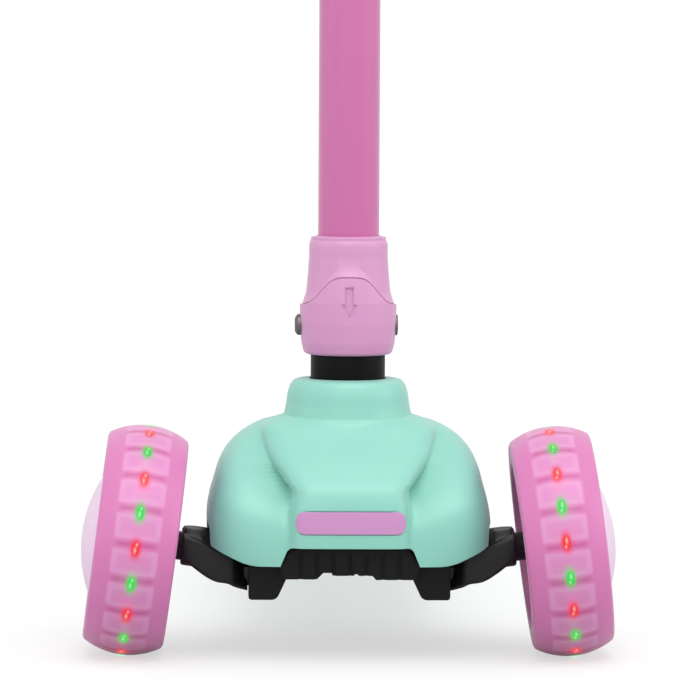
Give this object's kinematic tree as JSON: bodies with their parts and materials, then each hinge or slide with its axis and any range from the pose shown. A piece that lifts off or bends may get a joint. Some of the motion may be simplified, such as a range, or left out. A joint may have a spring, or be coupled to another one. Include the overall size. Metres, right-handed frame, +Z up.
{
  "type": "three wheel kids scooter",
  "caption": "Folding kids kick scooter with lean-to-steer light-up front wheels, moulded front shell, low deck, rear brake fender and height-adjustable T-bar.",
  "frame": {"origin": "on the floor under the middle of the scooter's box", "axes": "+Z up along the stem's height, +X to the rider's left across the wheels, -Y forward"},
  "size_m": [0.278, 0.5452, 0.6687],
  "materials": {
    "mint_shell": "satin moulded plastic",
    "mint_deck": "fine-grained moulded plastic",
    "mint_grip": "soft rubber",
    "black_plastic": "glass-filled nylon",
    "black_arm": "glass-filled nylon",
    "black_column": "powder coat",
    "pink_hinge": "satin moulded plastic",
    "pink_paint": "smooth satin paint",
    "badge": "bare moulded plate",
    "pink_tyre": "clear pink polyurethane",
    "lilac_hub": "frosted moulded plastic",
    "light_board": "lamp board",
    "mat_rubber": "ribbed rubber",
    "zinc_steel": "zinc plated",
    "bearing_steel": "ground steel",
    "spring_steel": "spring wire",
    "chrome_tube": "bright plated"
  },
  "bodies": {
    "chassis": {"front_shell": "mint_shell", "badge_plate": "badge", "front_base": "black_plastic", "deck": "mint_deck", "grip_mat": "mat_rubber", "steering_column": "black_column", "hinge_cup": "pink_hinge", "kingpin_left": "zinc_steel", "kingpin_right": "zinc_steel", "rear_axle": "zinc_steel", "rear_axle_nut": "zinc_steel", "rear_spacer": "zinc_steel", "brake_pin": "zinc_steel", "brake_spring": "spring_steel", "pivot_bolt": "zinc_steel", "pivot_nut": "zinc_steel", "centring_spring_left": "spring_steel", "centring_spring_right": "spring_steel"},
    "rear_wheel": {"rear_tyre": "pink_tyre", "rear_hub": "lilac_hub", "rear_bearing_left": "bearing_steel", "rear_bearing_right": "bearing_steel"},
    "tie_rod": {"tie_rod": "zinc_steel"},
    "brake": {"brake_fender": "black_plastic"},
    "stem": {"stem_knuckle": "pink_hinge", "stem_tube": "pink_paint", "stem_bushing": "black_plastic", "clamp_collar": "black_plastic", "clamp_bolt": "zinc_steel", "lever_pin": "zinc_steel", "release_spring": "spring_steel"},
    "button": {"release_button": "black_plastic"},
    "lever": {"clamp_lever": "black_plastic"},
    "handlebar": {"inner_tube": "chrome_tube", "tee_joint": "pink_paint", "crossbar": "pink_paint", "grip_left": "mint_grip", "grip_right": "mint_grip"},
    "left_arm": {"steering_arm_left": "black_arm", "axle_bolt_left": "zinc_steel", "magnet_core_left": "spring_steel"},
    "left_wheel": {"front_tyre_left": "pink_tyre", "front_hub_left": "lilac_hub", "hub_cap_left": "lilac_hub", "light_ring_left": "light_board", "outer_bearing_left": "bearing_steel", "inner_bearing_left": "bearing_steel"},
    "right_arm": {"steering_arm_right": "black_arm", "axle_bolt_right": "zinc_steel", "magnet_core_right": "spring_steel"},
    "right_wheel": {"front_tyre_right": "pink_tyre", "front_hub_right": "lilac_hub", "hub_cap_right": "lilac_hub", "light_ring_right": "light_board", "outer_bearing_right": "bearing_steel", "inner_bearing_right": "bearing_steel"}
  },
  "joints": [
    {"name": "steer_left", "type": "hinge", "parent": "chassis", "child": "left_arm", "pos_m": [0.044, -0.21263, 0.044], "axis": [0, -0.342, 0.9397], "range_deg": [-10, 10], "stiffness_Nm_per_rad": 6, "deforming": ["centring_spring_left", "centring_spring_right"]},
    {"name": "front_wheel_spin_left", "type": "hinge", "parent": "left_arm", "child": "left_wheel", "pos_m": [0.1107, -0.21263, 0.05983], "axis": [0.9921, 0, 0.1253], "continuous": true},
    {"name": "steer_right", "type": "hinge", "parent": "chassis", "child": "right_arm", "pos_m": [-0.044, -0.21263, 0.044], "axis": [0, -0.342, 0.9397], "range_deg": [-10, 10]},
    {"name": "front_wheel_spin_right", "type": "hinge", "parent": "right_arm", "child": "right_wheel", "pos_m": [-0.1107, -0.21263, 0.05983], "axis": [-0.9921, 0, 0.1253], "continuous": true},
    {"name": "tie_rod_turn", "type": "hinge", "parent": "left_arm", "child": "tie_rod", "pos_m": [0.044, -0.18914, 0.05255], "axis": [0, -0.342, 0.9397], "range_deg": [-10, 10]},
    {"name": "rear_wheel_spin", "type": "hinge", "parent": "chassis", "child": "rear_wheel", "pos_m": [0, 0.22737, 0.04], "axis": [1, 0, 0], "continuous": true},
    {"name": "brake_press", "type": "hinge", "parent": "chassis", "child": "brake", "pos_m": [0, 0.1845, 0.06475], "axis": [-1, 0, 0], "range_deg": [0, 4], "stiffness_Nm_per_rad": 3, "springref_deg": -5.73, "deforming": ["brake_spring"]},
    {"name": "stem_fold", "type": "hinge", "parent": "chassis", "child": "stem", "pos_m": [0, -0.17663, 0.169], "axis": [-1, 0, 0], "range_deg": [0, 88]},
    {"name": "release_button_press", "type": "slide", "parent": "stem", "child": "button", "axis": [0, -0.9994, 0.0349], "range_m": [0, 0.004], "stiffness_N_per_m": 600, "springref_m": -0.001, "deforming": ["release_spring"]},
    {"name": "handlebar_height", "type": "slide", "parent": "stem", "child": "handlebar", "axis": [0, 0.0349, 0.9994], "range_m": [0, 0.14]},
    {"name": "clamp_lever_swing", "type": "hinge", "parent": "stem", "child": "lever", "pos_m": [0.014, -0.13812, 0.46384], "axis": [0, 0.0349, 0.9994], "range_deg": [0, 110]}
  ],
  "couplings": [
    {"joint": "steer_right", "follows": "steer_left", "ratio": 1},
    {"joint": "tie_rod_turn", "follows": "steer_left", "ratio": -1}
  ]
}
